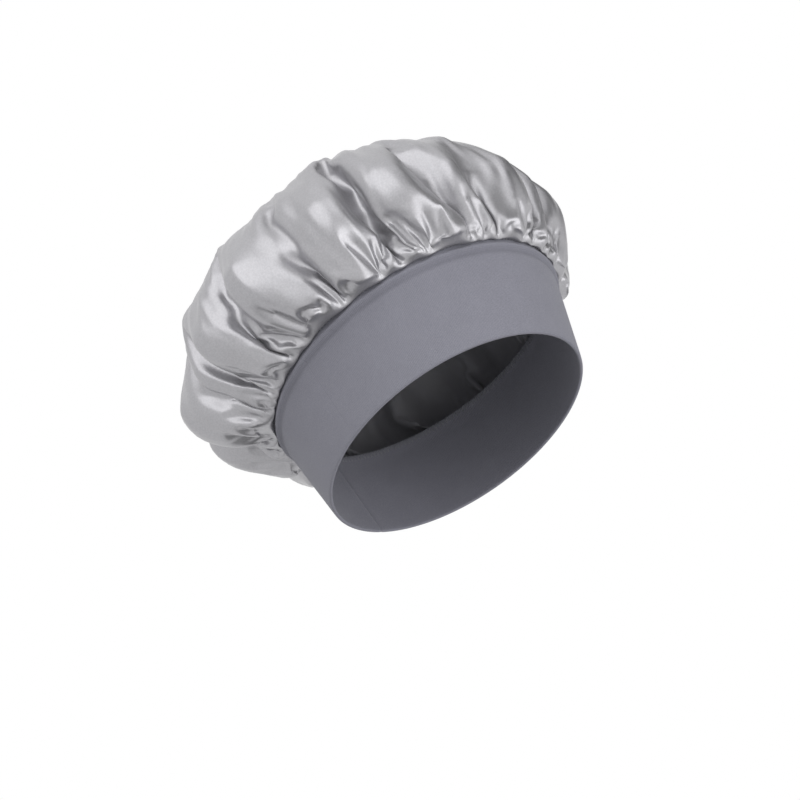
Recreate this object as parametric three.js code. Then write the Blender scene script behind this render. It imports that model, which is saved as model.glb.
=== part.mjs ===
// Satin sleep cap: a gathered satin crown sewn to a wide double jersey band.
// Millimetres, +Z up from the hem to the crown, front towards -Y.
// The origin is the centre of the head opening, in the plane of the hem.
import * as THREE from 'three';

// Band: half axes of the wearer's side of the wall at the hem and at the seam
const HEM_HALF_WIDTH = 77.5;
const HEM_HALF_LENGTH = 95.5;
const SEAM_HALF_WIDTH = 87.5;
const SEAM_HALF_LENGTH = 107;
const BAND_HEIGHT = 62.5;

// Jersey strip: cloth thickness, the space between its two plies and the flat under the fold
const JERSEY = 0.8;
const PLY_GAP = 0.8;
const HEM_ROUND = 0.6;

// The rolled edge just below the seam
const BEAD_OUT = 1.1;
const BEAD_HEIGHT = 3.4;

// The strip's two ends meet in a narrow joint at the centre of the back
const BACK_JOINT = 0.6;

// Seam allowance that stands up inside the crown
const ALLOWANCE = 7;

// Satin: cloth thickness and the width of the turn from allowance to crown
const SATIN = 0.7;
const TURN_WIDTH = 3.2;

// Crown: an ellipsoid that overhangs the seam, and leans back and to one side as the cloth settles
const SIDE_OVERHANG = 31.5;
const END_OVERHANG = 28;
const CROWN_HALF_HEIGHT = 77;
const CROWN_LEAN_SIDE = -8;
const CROWN_LEAN_BACK = 9;
const CROWN_MIDDLE_ABOVE_SEAM = 41;

// How far outside the wall the crown's puffed part begins, just above the seam
const ROOT_OUT = 8;

// Main folds: count and depth, from the seam to the top of the crown
const FOLDS = 19;
const STEPS_PER_FOLD = 4;
const SEAM_PLEAT_DEPTH = 1.6;
const FOLD_RINGS = [
  { rise: 0, depth: 6 },
  { rise: 0.19, depth: 8.5 },
  { rise: 0.42, depth: 7 },
  { rise: 0.65, depth: 4.5 },
  { rise: 0.85, depth: 2 },
];
const FOLD_WANDER = 0.55;
const FOLD_UNEVEN = 0.3;

// Sewing thread, its clearance to the cloth and the overlock stitch with the band stretched on a head
const THREAD = 0.35;
const CLEARANCE = 0.3;
const STITCH_LENGTH = 5;
const GATHER_STITCH = 8;
const NEEDLE_SPACING = 2;
const NEEDLE_FROM_TURN = 0.9;
const BACK_STITCH = 3;
const BACK_ROW_SPACING = 1.6;

const BAND_STEPS = 76;

// Worked out from the sizes above
const BAND_THICKNESS = 2 * JERSEY + PLY_GAP;
const SEAM_TOP = BAND_HEIGHT + ALLOWANCE;
const SATIN_FACE = BAND_THICKNESS + CLEARANCE;
const SATIN_BACK = SATIN_FACE + SATIN;
const TURN_Z = BAND_HEIGHT + CLEARANCE;
const THREAD_OFF = CLEARANCE + THREAD / 2;
const CROWN_HALF_WIDTH = SEAM_HALF_WIDTH + SIDE_OVERHANG;
const CROWN_HALF_LENGTH = SEAM_HALF_LENGTH + END_OVERHANG;
const CROWN_MIDDLE_Z = BAND_HEIGHT + CROWN_MIDDLE_ABOVE_SEAM;
const BACK = Math.PI / 2;

const satinCloth = new THREE.MeshStandardMaterial({ color: 0xabaaae, roughness: 0.32, metalness: 0.15 });
const jerseyCloth = new THREE.MeshStandardMaterial({ color: 0x84848e, roughness: 0.9, metalness: 0 });
const greyThread = new THREE.MeshStandardMaterial({ color: 0x9c9ca3, roughness: 0.6, metalness: 0 });

// Half axes of the wall at a height; above the seam it stands straight
function wallAt(z) {
  const share = Math.min(z / BAND_HEIGHT, 1);
  return {
    width: THREE.MathUtils.lerp(HEM_HALF_WIDTH, SEAM_HALF_WIDTH, share),
    length: THREE.MathUtils.lerp(HEM_HALF_LENGTH, SEAM_HALF_LENGTH, share),
  };
}

// A point at a turn round the cap, some way outside the wall and at a height
function wallPoint(turn, out, z) {
  const wall = wallAt(z);
  return new THREE.Vector3((wall.width + out) * Math.cos(turn), (wall.length + out) * Math.sin(turn), z);
}

// Six times the signed volume that an indexed surface encloses
function signedVolume(points, faces) {
  let total = 0;
  for (const [a, b, c] of faces) {
    total += points[a].dot(new THREE.Vector3().crossVectors(points[b], points[c]));
  }
  return total;
}

// A mesh from points and triangles, turned so that its faces look outwards
function closedMesh(name, points, faces, material) {
  const inwards = signedVolume(points, faces) < 0;
  const geometry = new THREE.BufferGeometry();
  geometry.setFromPoints(points);
  geometry.setIndex(faces.flatMap(([a, b, c]) => (inwards ? [a, c, b] : [a, b, c])));
  geometry.computeVertexNormals();
  const mesh = new THREE.Mesh(geometry, material);
  mesh.name = name;
  return mesh;
}

// Triangles between two neighbouring rows of points of equal count
function bridge(faces, first, second, count, closed) {
  const spans = closed ? count : count - 1;
  for (let i = 0; i < spans; i += 1) {
    const next = (i + 1) % count;
    faces.push([first + i, first + next, second + next], [first + i, second + next, second + i]);
  }
}

// Section of the folded strip as [out, z], round from the hem's flat, up the outside and back down
function bandSection() {
  const outerBack = JERSEY + PLY_GAP;
  const beadMiddle = BAND_HEIGHT - BEAD_HEIGHT / 2;
  return [
    [HEM_ROUND, 0],
    [BAND_THICKNESS - HEM_ROUND, 0],
    [BAND_THICKNESS, HEM_ROUND],
    [BAND_THICKNESS, BAND_HEIGHT - BEAD_HEIGHT],
    [BAND_THICKNESS + BEAD_OUT, beadMiddle],
    [BAND_THICKNESS, BAND_HEIGHT],
    [BAND_THICKNESS, SEAM_TOP],
    [outerBack, SEAM_TOP],
    [outerBack, BAND_HEIGHT],
    [outerBack + BEAD_OUT, beadMiddle],
    [outerBack, BAND_HEIGHT - BEAD_HEIGHT],
    [outerBack, JERSEY],
    [JERSEY, JERSEY],
    [JERSEY, BAND_HEIGHT],
    [JERSEY, SEAM_TOP],
    [0, SEAM_TOP],
    [0, BAND_HEIGHT],
    [0, HEM_ROUND],
  ];
}

// One strip round the head, open at the back joint and closed by its two end faces
function knitBand() {
  const section = bandSection();
  const halfJoint = BACK_JOINT / 2 / HEM_HALF_WIDTH;
  const points = [];
  const faces = [];
  for (let step = 0; step <= BAND_STEPS; step += 1) {
    const turn = BACK + halfJoint + (step / BAND_STEPS) * (2 * Math.PI - 2 * halfJoint);
    points.push(...section.map(([out, z]) => wallPoint(turn, out, z)));
    if (step > 0) bridge(faces, (step - 1) * section.length, step * section.length, section.length, true);
  }
  const outline = section.map(([out, z]) => new THREE.Vector2(out, z));
  const last = BAND_STEPS * section.length;
  const sectionArea = THREE.ShapeUtils.area(outline);
  for (const corners of THREE.ShapeUtils.triangulateShape(outline, [])) {
    const sameWay = THREE.ShapeUtils.area(corners.map((corner) => outline[corner])) * sectionArea > 0;
    const onward = sameWay ? corners : [...corners].reverse();
    faces.push([...onward].reverse(), onward.map((corner) => corner + last));
  }
  return closedMesh('knit_band', points, faces, jerseyCloth);
}

// Height of a fold at a turn, from 0 in its valley to 1 on its ridge
function foldShape(turn) {
  const wander = FOLD_WANDER * Math.sin(3 * turn + 0.7) + FOLD_WANDER * Math.sin(5 * turn + 2.1) / 2;
  const even = 0.5 + 0.5 * Math.cos(FOLDS * turn + wander);
  const height = 1 - FOLD_UNEVEN + FOLD_UNEVEN * Math.sin(4 * turn + 1.3);
  return even * height;
}

// A point of the crown and the way out of the cloth there; rise runs from the root, 0, to the top, 1
function crownPoint(turn, rise, depth) {
  const half = new THREE.Vector3(CROWN_HALF_WIDTH, CROWN_HALF_LENGTH, CROWN_HALF_HEIGHT);
  const middle = new THREE.Vector3(CROWN_LEAN_SIDE, CROWN_LEAN_BACK, CROWN_MIDDLE_Z);
  const root = wallPoint(turn, ROOT_OUT, BAND_HEIGHT).sub(middle).divide(half);
  const around = Math.atan2(root.y, root.x);
  const lowest = -Math.acos(Math.min(Math.hypot(root.x, root.y), 1));
  const lift = THREE.MathUtils.lerp(lowest, Math.PI / 2, rise);
  const ball = new THREE.Vector3(
    Math.cos(lift) * Math.cos(around),
    Math.cos(lift) * Math.sin(around),
    Math.sin(lift),
  );
  const outwards = ball.clone().divide(half).normalize();
  const place = ball.clone().multiply(half).add(middle);
  place.addScaledVector(outwards, depth * foldShape(turn));
  return { place, outwards };
}

// Rows of the crown from the raw edge to the top, on the satin's face or on its back
function crownRows(onFace) {
  const count = FOLDS * STEPS_PER_FOLD;
  const turns = Array.from({ length: count }, (_, i) => BACK + (i / count) * 2 * Math.PI);
  const flat = onFace ? SATIN_FACE : SATIN_BACK;
  const turnZ = onFace ? TURN_Z : TURN_Z + SATIN;
  const turnOut = SATIN_FACE + TURN_WIDTH - (onFace ? 0 : SATIN);
  const inset = onFace ? 0 : -SATIN;
  const rows = [
    turns.map((turn) => wallPoint(turn, flat, SEAM_TOP)),
    turns.map((turn) => wallPoint(turn, flat, turnZ)),
    turns.map((turn) => wallPoint(turn, turnOut + SEAM_PLEAT_DEPTH * foldShape(turn), turnZ)),
  ];
  for (const { rise, depth } of FOLD_RINGS) {
    rows.push(turns.map((turn) => {
      const { place, outwards } = crownPoint(turn, rise, depth);
      return place.addScaledVector(outwards, inset);
    }));
  }
  return rows;
}

// One satin shell: face and back joined along the raw edge, each closed at the top
function satinCrown() {
  const face = crownRows(true);
  const back = crownRows(false);
  const rows = [...face.reverse(), ...back];
  const count = rows[0].length;
  const points = rows.flat();
  const faces = [];
  for (let row = 1; row < rows.length; row += 1) {
    bridge(faces, (row - 1) * count, row * count, count, true);
  }
  const { place, outwards } = crownPoint(BACK, 1, 0);
  const top = points.push(place) - 1;
  const under = points.push(place.clone().addScaledVector(outwards, -SATIN)) - 1;
  const lastRow = (rows.length - 1) * count;
  for (let i = 0; i < count; i += 1) {
    const next = (i + 1) % count;
    faces.push([top, next, i], [under, lastRow + i, lastRow + next]);
  }
  return closedMesh('satin_crown', points, faces, satinCloth);
}

// Three-sided thread through a list of points, mitred at its bends
function thread(name, path, closed) {
  const sides = 3;
  const count = path.length;
  const points = [];
  const faces = [];
  path.forEach((place, i) => {
    const before = closed || i > 0 ? path[(i - 1 + count) % count] : null;
    const after = closed || i < count - 1 ? path[(i + 1) % count] : null;
    const arrive = before ? place.clone().sub(before).normalize() : null;
    const leave = after ? after.clone().sub(place).normalize() : arrive;
    const along = leave.clone().add(arrive ?? leave).normalize();
    const radial = new THREE.Vector3(place.x, place.y, 0).normalize();
    const normal = radial.addScaledVector(along, -radial.dot(along)).normalize();
    const across = new THREE.Vector3().crossVectors(along, normal);
    const bend = leave.clone().sub(arrive ?? leave);
    const stretch = 1 / Math.max(along.dot(leave), 0.3) - 1;
    if (bend.length() > 1e-6) bend.normalize();
    for (let side = 0; side < sides; side += 1) {
      const angle = (side / sides) * 2 * Math.PI;
      const offset = normal.clone().multiplyScalar(Math.cos(angle)).addScaledVector(across, Math.sin(angle));
      offset.addScaledVector(bend, offset.dot(bend) * stretch);
      points.push(place.clone().addScaledVector(offset, THREAD / 2));
    }
    if (i > 0) bridge(faces, (i - 1) * sides, i * sides, sides, true);
  });
  if (closed) {
    bridge(faces, (count - 1) * sides, 0, sides, true);
  } else {
    const last = (count - 1) * sides;
    faces.push([0, 2, 1], [last, last + 1, last + 2]);
  }
  return closedMesh(name, points, faces, greyThread);
}

// Length round the seam, by the usual estimate for an ellipse
function seamLength() {
  const a = SEAM_HALF_WIDTH + SATIN_BACK;
  const b = SEAM_HALF_LENGTH + SATIN_BACK;
  return Math.PI * (3 * (a + b) - Math.sqrt((3 * a + b) * (a + 3 * b)));
}

// A row of stitches round the seam; each stitch is a list of [share of its length, out, z]
function stitchRow(name, stitchLength, stitch, shift) {
  const count = Math.round(seamLength() / stitchLength);
  const path = [];
  for (let i = 0; i < count; i += 1) {
    for (const [share, out, z] of stitch) {
      path.push(wallPoint(BACK + ((i + shift + share) / count) * 2 * Math.PI, out, z));
    }
  }
  return thread(name, path, true);
}

// Rows of thread on the raw edge: gathering, two needles and the two loopers that wrap the edge
function seamThreads() {
  const outside = SATIN_BACK + THREAD_OFF;
  const inside = -THREAD_OFF;
  const over = SEAM_TOP + THREAD_OFF;
  const middle = SATIN_BACK / 2;
  const leftZ = TURN_Z + SATIN + NEEDLE_FROM_TURN;
  const rightZ = leftZ + NEEDLE_SPACING;
  const gatherZ = leftZ + NEEDLE_SPACING / 2;
  const bow = THREAD / 2;
  const upperLow = rightZ + THREAD + CLEARANCE;
  const lowerLow = leftZ;
  const straight = (z) => [[0, outside, z], [0.5, outside + bow, z]];
  return [
    stitchRow('gathering_thread', GATHER_STITCH, straight(gatherZ), 0.25),
    stitchRow('needle_thread_left', STITCH_LENGTH, straight(leftZ), 0),
    stitchRow('needle_thread_right', STITCH_LENGTH, straight(rightZ), 0.5),
    stitchRow('upper_looper_thread', STITCH_LENGTH, [
      [0, outside, upperLow],
      [0.34, outside, over],
      [0.5, middle + THREAD, over],
      [0.66, outside, over],
    ], 0),
    stitchRow('lower_looper_thread', STITCH_LENGTH, [
      [0, inside, lowerLow],
      [0.34, inside, over],
      [0.5, middle - THREAD, over],
      [0.66, inside, over],
    ], 0.5),
  ];
}

// Lockstitch beside the back joint, hidden between the two plies
function backJointThread(name, side) {
  const out = JERSEY + PLY_GAP / 2;
  const low = JERSEY + THREAD_OFF;
  const count = Math.floor((SEAM_TOP - low) / BACK_STITCH);
  const path = [];
  for (let i = 0; i <= count; i += 1) {
    const z = low + i * BACK_STITCH;
    const aside = side * (BACK_ROW_SPACING / 2 + (i % 2) * THREAD);
    path.push(wallPoint(BACK - aside / HEM_HALF_WIDTH, out, z));
  }
  return thread(name, path, false);
}

const sleepCap = new THREE.Group();
sleepCap.add(satinCrown(), knitBand(), ...seamThreads());
sleepCap.add(backJointThread('back_needle_thread', 1), backJointThread('back_bobbin_thread', -1));

export default sleepCap;
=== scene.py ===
"""A satin sleep cap: a gathered satin crown sewn to a folded jersey band.

Everything is in metres, in the model's own frame. The origin is the middle of the head opening in the
plane of the hem, +Z points up to the crown, and the front of the cap faces -Y.
"""

import bisect
import logging
import math
import random
from collections.abc import Iterable
from dataclasses import dataclass, field
from enum import Enum

import bpy
import numpy as np
from mathutils import Matrix, Vector, noise


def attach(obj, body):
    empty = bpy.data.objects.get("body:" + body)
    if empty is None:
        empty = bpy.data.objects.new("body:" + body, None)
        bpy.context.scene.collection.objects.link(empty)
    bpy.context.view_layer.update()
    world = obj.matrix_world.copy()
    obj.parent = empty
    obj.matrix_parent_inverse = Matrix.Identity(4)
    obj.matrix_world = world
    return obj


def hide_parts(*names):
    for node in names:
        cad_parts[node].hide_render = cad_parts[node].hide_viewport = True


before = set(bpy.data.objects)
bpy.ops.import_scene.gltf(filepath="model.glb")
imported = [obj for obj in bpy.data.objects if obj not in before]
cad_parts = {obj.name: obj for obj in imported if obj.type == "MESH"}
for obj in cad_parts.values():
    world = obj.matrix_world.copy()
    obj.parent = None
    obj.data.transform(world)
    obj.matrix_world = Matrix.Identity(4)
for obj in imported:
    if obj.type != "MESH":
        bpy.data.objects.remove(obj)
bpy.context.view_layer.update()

MM = 0.001
FULL_TURN = 2 * math.pi
IMAGE_PIXELS = 800
SENSOR_WIDTH = 36.0
GRAIN_LOW = 0.32
GRAIN_HIGH = 0.68
GRAIN_DETAIL = 3.0
MOTTLE_DETAIL = 2.0
NEAR = 0.01 * MM
WHITE = (1.0, 1.0, 1.0, 1.0)
BLACK = (0.0, 0.0, 0.0, 1.0)

# A Mix node's colour sockets go by number, because its other sockets have the same names
MIX_SHARE, MIX_FIRST, MIX_SECOND = 0, 6, 7
MIX_RESULT = 2

log = logging.getLogger("sleep_cap")

Socket = bpy.types.NodeSocket
Colour = tuple[float, float, float, float]


class Body(Enum):
    """The cap has no joints, so every piece rides on one body."""

    CAP = "root"


class Slot(Enum):
    """The material slots of the cap."""

    SATIN = "satin"
    JERSEY = "jersey"
    THREAD = "thread"


class Held(Enum):
    """How a sheet of cloth is held."""

    GATHERED = "gathered"
    STRETCHED = "stretched"


class CadNode(Enum):
    """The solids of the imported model."""

    CROWN = "satin_crown"
    BAND = "knit_band"
    GATHERING = "gathering_thread"
    NEEDLE_LEFT = "needle_thread_left"
    NEEDLE_RIGHT = "needle_thread_right"
    LOOPER_UPPER = "upper_looper_thread"
    LOOPER_LOWER = "lower_looper_thread"
    BACK_NEEDLE = "back_needle_thread"
    BACK_BOBBIN = "back_bobbin_thread"


# Helpers for objects


def select_only(piece: bpy.types.Object) -> None:
    """Select one piece alone and make it active, because operators act on all that is selected.

    Args:
        piece: The piece to select.
    """
    bpy.ops.object.select_all(action="DESELECT")
    piece.select_set(True)
    bpy.context.view_layer.objects.active = piece


def apply_modifiers(piece: bpy.types.Object) -> None:
    """Apply a piece's modifiers in their order.

    Args:
        piece: The piece that has them.
    """
    select_only(piece)
    for modifier in list(piece.modifiers):
        bpy.ops.object.modifier_apply(modifier=modifier.name)


def subdivide(piece: bpy.types.Object, levels: int) -> None:
    """Put a subdivision surface on a piece, with the same level on screen as in a render.

    Args:
        piece: The piece to refine.
        levels: How often each face is split in four.
    """
    surface = piece.modifiers.new("subdivision", "SUBSURF")
    surface.levels = levels
    surface.render_levels = levels


def join_cap(piece: bpy.types.Object, stands_for: CadNode) -> None:
    """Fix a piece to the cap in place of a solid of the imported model.

    Args:
        piece: The finished piece.
        stands_for: The solid that it is shown instead of.
    """
    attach(piece, Body.CAP.value)
    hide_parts(stands_for.value)


def ease(share: float) -> float:
    """Give a smooth rise from 0 to 1."""
    share = min(max(share, 0.0), 1.0)
    return share * share * (3 - 2 * share)


# Helpers for materials


class NodeBoard:
    """Adds nodes to one node tree and wires them."""

    def __init__(self, tree: bpy.types.NodeTree) -> None:
        """Keep the tree that the nodes go on."""
        self.tree = tree

    def add(self, kind: str, **settings: object) -> bpy.types.Node:
        """Add a node.

        Args:
            kind: The node's type, without its prefix.
            settings: The node's properties by name.

        Returns:
            The new node.
        """
        node = self.tree.nodes.new("ShaderNode" + kind)
        for name, value in settings.items():
            setattr(node, name, value)
        return node

    def feed(self, socket: Socket, value: object) -> None:
        """Wire a socket from another socket, or set it to a constant.

        Args:
            socket: The socket to feed.
            value: Another socket, or a number or colour.
        """
        if isinstance(value, Socket):
            self.tree.links.new(value, socket)
        else:
            socket.default_value = value

    def math(self, operation: str, *terms: object) -> Socket:
        """Work out a value.

        Args:
            operation: The Math node's operation.
            terms: Sockets or numbers, in the operation's order.

        Returns:
            The result's socket.
        """
        node = self.add("Math", operation=operation)
        for socket, term in zip(node.inputs, terms):
            self.feed(socket, term)
        return node.outputs[0]

    def spread(self, value: Socket, low: float, high: float) -> Socket:
        """Spread a value of 0 to 1 between two numbers.

        Args:
            value: The socket to spread.
            low: The result where the value is 0.
            high: The result where the value is 1.

        Returns:
            The result's socket.
        """
        node = self.add("MapRange")
        self.feed(node.inputs["Value"], value)
        node.inputs["To Min"].default_value = low
        node.inputs["To Max"].default_value = high
        return node.outputs["Result"]

    def blend(self, share: object, first: object, second: object) -> Socket:
        """Mix two colours.

        Args:
            share: How much of the second colour there is, from 0 to 1.
            first: The first colour.
            second: The second colour.

        Returns:
            The mixed colour's socket.
        """
        node = self.add("Mix", data_type="RGBA")
        self.feed(node.inputs[MIX_SHARE], share)
        self.feed(node.inputs[MIX_FIRST], first)
        self.feed(node.inputs[MIX_SECOND], second)
        return node.outputs[MIX_RESULT]

    def weigh(self, first: Socket, second: Socket, share: float) -> Socket:
        """Add two values by weight.

        Args:
            first: The first value.
            second: The second value.
            share: The first value's weight. The second has the rest.

        Returns:
            The sum's socket.
        """
        rest = self.math("MULTIPLY", second, 1 - share)
        return self.math("ADD", self.math("MULTIPLY", first, share), rest)

    def reach(self, place: Socket, near: float, far: float) -> Socket:
        """Give a smooth rise with the distance from the object's middle.

        Args:
            place: The object's coordinates.
            near: The distance up to which the result is 0.
            far: The distance from which the result is 1.

        Returns:
            The result's socket.
        """
        length = self.add("VectorMath", operation="LENGTH")
        self.feed(length.inputs[0], place)
        rise = self.add("MapRange", interpolation_type="SMOOTHSTEP")
        self.feed(rise.inputs["Value"], length.outputs["Value"])
        rise.inputs["From Min"].default_value = near
        rise.inputs["From Max"].default_value = far
        return rise.outputs["Result"]

    def noise(self, place: Socket, scale: float, detail: float = 2.0) -> Socket:
        """Add a noise texture.

        Args:
            place: The coordinates it is read at.
            scale: Its cells per metre.
            detail: How many finer layers it has.

        Returns:
            The noise's value.
        """
        node = self.add("TexNoise")
        self.feed(node.inputs["Vector"], place)
        node.inputs["Scale"].default_value = scale
        node.inputs["Detail"].default_value = detail
        return node.outputs["Fac"]

    def emboss(self, shader: bpy.types.Node, height: Socket, relief: float) -> None:
        """Give a surface its fine relief.

        Args:
            shader: The surface's shader.
            height: The relief's height, as a share of its depth.
            relief: How deep it is.
        """
        bump = self.add("Bump")
        bump.inputs["Distance"].default_value = relief
        self.feed(bump.inputs["Height"], height)
        self.feed(shader.inputs["Normal"], bump.outputs["Normal"])


def yarn_grain_group() -> bpy.types.NodeTree:
    """Build the fine grain and broad unevenness that all the cap's yarns have.

    Returns:
        The node group, which takes a place and the two scales and gives the grain and the mottle.
    """
    group = bpy.data.node_groups.new("yarn_grain", "ShaderNodeTree")
    sockets = (
        ("Place", "INPUT", "NodeSocketVector"),
        ("Grain Scale", "INPUT", "NodeSocketFloat"),
        ("Mottle Scale", "INPUT", "NodeSocketFloat"),
        ("Grain", "OUTPUT", "NodeSocketFloat"),
        ("Mottle", "OUTPUT", "NodeSocketFloat"),
    )
    for name, way, kind in sockets:
        group.interface.new_socket(name, in_out=way, socket_type=kind)
    board = NodeBoard(group)
    given = group.nodes.new("NodeGroupInput")
    result = group.nodes.new("NodeGroupOutput")
    for name, detail in (("Grain", GRAIN_DETAIL), ("Mottle", MOTTLE_DETAIL)):
        texture = board.add("TexNoise")
        board.feed(texture.inputs["Vector"], given.outputs["Place"])
        board.feed(texture.inputs["Scale"], given.outputs[f"{name} Scale"])
        texture.inputs["Detail"].default_value = detail
        stretch = board.add("MapRange")
        board.feed(stretch.inputs["Value"], texture.outputs["Fac"])
        stretch.inputs["From Min"].default_value = GRAIN_LOW
        stretch.inputs["From Max"].default_value = GRAIN_HIGH
        board.feed(result.inputs[name], stretch.outputs["Result"])
    return group


@dataclass
class Dresser:
    """Starts each material and holds the node group that they share."""

    grain_group: bpy.types.NodeTree = field(default_factory=yarn_grain_group)

    def start(self, name: str) -> tuple[bpy.types.Material, NodeBoard, bpy.types.Node]:
        """Start a material.

        Args:
            name: The material's name.

        Returns:
            The material, a board for its nodes and its surface shader.
        """
        material = bpy.data.materials.new(name)
        material.use_nodes = True
        board = NodeBoard(material.node_tree)
        return material, board, material.node_tree.nodes["Principled BSDF"]

    def grain(self, board: NodeBoard, place: Socket, fine: float, broad: float) -> tuple[Socket, Socket]:
        """Place the shared yarn grain in a material.

        Args:
            board: The material's board.
            place: The coordinates that the grain is read at.
            fine: The fine grain's cells per metre.
            broad: The broad unevenness's cells per metre.

        Returns:
            The fine grain and the broad unevenness, each from 0 to 1.
        """
        node = board.add("Group", node_tree=self.grain_group)
        board.feed(node.inputs["Place"], place)
        node.inputs["Grain Scale"].default_value = fine
        node.inputs["Mottle Scale"].default_value = broad
        return node.outputs["Grain"], node.outputs["Mottle"]


# Finishes


@dataclass(frozen=True)
class SatinFinish:
    """Grey satin with a bright, smooth face and a duller wrong side."""

    face_dark: Colour = (0.352, 0.349, 0.367, 1)
    face_light: Colour = (0.464, 0.459, 0.479, 1)
    wrong_side: Colour = (0.33, 0.33, 0.35, 1)
    face_roughness: tuple[float, float] = (0.32, 0.41)
    wrong_roughness: float = 0.62
    face_metallic: float = 0.70
    anisotropy: float = 0.45
    sheen: float = 0.06
    float_length: float = 2.4 * MM
    float_width: float = 0.35 * MM
    float_detail: float = 1.0
    float_share: float = 0.5
    grain_scale: float = 900.0
    mottle_scale: float = 55.0
    weave_relief: float = 0.018 * MM

    def material(self, dresser: Dresser, flat_map: str) -> bpy.types.Material:
        """Build the satin's material.

        Args:
            dresser: The shared node group's holder.
            flat_map: The UV map that holds each point's place on the flat cloth, in metres.

        Returns:
            The material.
        """
        material, board, shader = dresser.start("grey_satin")
        side = board.add("NewGeometry").outputs["Backfacing"]
        cloth = board.add("UVMap", uv_map=flat_map).outputs["UV"]
        place = board.add("TexCoord").outputs["Object"]
        fine, broad = dresser.grain(board, place, self.grain_scale, self.mottle_scale)
        # The floats of a satin weave lie side by side along the warp
        floats = board.add("Mapping")
        board.feed(floats.inputs["Vector"], cloth)
        floats.inputs["Scale"].default_value = (1 / self.float_length, 1 / self.float_width, 1)
        streak = board.noise(floats.outputs["Vector"], 1.0, self.float_detail)
        tone = board.weigh(streak, fine, self.float_share)
        face = board.blend(tone, self.face_dark, self.face_light)
        board.feed(shader.inputs["Base Color"], board.blend(side, face, self.wrong_side))
        gloss = board.spread(broad, *self.face_roughness)
        dull = board.math("MULTIPLY", side, board.math("SUBTRACT", self.wrong_roughness, gloss))
        board.feed(shader.inputs["Roughness"], board.math("ADD", gloss, dull))
        front = board.math("SUBTRACT", 1.0, side)
        board.feed(shader.inputs["Metallic"], board.math("MULTIPLY", front, self.face_metallic))
        board.emboss(shader, tone, self.weave_relief)
        tangent = board.add("Tangent", direction_type="UV_MAP", uv_map=flat_map)
        board.feed(shader.inputs["Tangent"], tangent.outputs["Tangent"])
        shader.inputs["Anisotropic"].default_value = self.anisotropy
        shader.inputs["Sheen Weight"].default_value = self.sheen
        return material


@dataclass(frozen=True)
class JerseyFinish:
    """Grey weft-knit jersey: columns of small V-shaped stitches with a soft, matt surface."""

    dark: Colour = (0.150, 0.150, 0.182, 1)
    light: Colour = (0.330, 0.330, 0.385, 1)
    wale: float = 0.95 * MM
    course: float = 0.75 * MM
    lean: float = 0.55
    yarn_share: float = 0.55
    fine_share: float = 0.85
    knit_share: float = 0.6
    fuzz: float = 0.5
    relief: float = 0.10 * MM
    roughness: tuple[float, float] = (0.78, 0.92)
    sheen: float = 0.12
    grain_scale: float = 1500.0
    mottle_scale: float = 70.0
    round_radius: float = 92 * MM
    length_over_width: float = 1.225
    # How strongly the groove under the seam's bead is darkened with painted shade, and the shade's colour
    groove_shade_depth: float = 0.3
    groove_shade_colour: Colour = (0.085, 0.085, 0.105, 1)

    def material(self, dresser: Dresser, groove_shade_mark: str) -> bpy.types.Material:
        """Build the jersey's material, with its stitches running round the band and up it.

        Args:
            dresser: The shared node group's holder.
            groove_shade_mark: The attribute that says where the groove under the seam's bead gets painted
                shade.

        Returns:
            The material.
        """
        material, board, shader = dresser.start("grey_jersey")
        place = board.add("TexCoord").outputs["Object"]
        parts = board.add("SeparateXYZ")
        board.feed(parts.inputs[0], place)
        wide = board.math("MULTIPLY", parts.outputs["X"], self.length_over_width)
        turn = board.math("ARCTAN2", parts.outputs["Y"], wide)
        column = board.math("MULTIPLY", turn, self.round_radius / self.wale)
        row = board.math("DIVIDE", parts.outputs["Z"], self.course)
        # Each stitch is a V: its two legs rise from the middle of the column
        across = board.math("SUBTRACT", board.math("FRACT", column), 0.5)
        leg = board.math("MULTIPLY", board.math("ABSOLUTE", across), 2 * self.lean)
        loop = board.math("SUBTRACT", row, leg)
        yarn = board.math("ABSOLUTE", board.math("SINE", board.math("MULTIPLY", loop, math.pi)))
        rib = board.math("COSINE", board.math("MULTIPLY", across, FULL_TURN))
        groove = board.math("MULTIPLY", board.math("ADD", rib, 1.0), 0.5)
        knit = board.weigh(yarn, groove, self.yarn_share)
        fine, broad = dresser.grain(board, place, self.grain_scale, self.mottle_scale)
        uneven = board.weigh(fine, broad, self.fine_share)
        tone = board.weigh(knit, uneven, self.knit_share)
        # Painted shade: the jersey in the groove under the seam's bead is darkened, standing in for the
        # shadow there
        mark = board.add("Attribute", attribute_name=groove_shade_mark).outputs["Fac"]
        groove_shade = board.math("MULTIPLY", mark, self.groove_shade_depth)
        cloth = board.blend(tone, self.dark, self.light)
        board.feed(shader.inputs["Base Color"], board.blend(groove_shade, cloth, self.groove_shade_colour))
        board.feed(shader.inputs["Roughness"], board.spread(uneven, *self.roughness))
        height = board.math("ADD", knit, board.math("MULTIPLY", fine, self.fuzz))
        board.emboss(shader, height, self.relief)
        shader.inputs["Sheen Weight"].default_value = self.sheen
        return material


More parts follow.
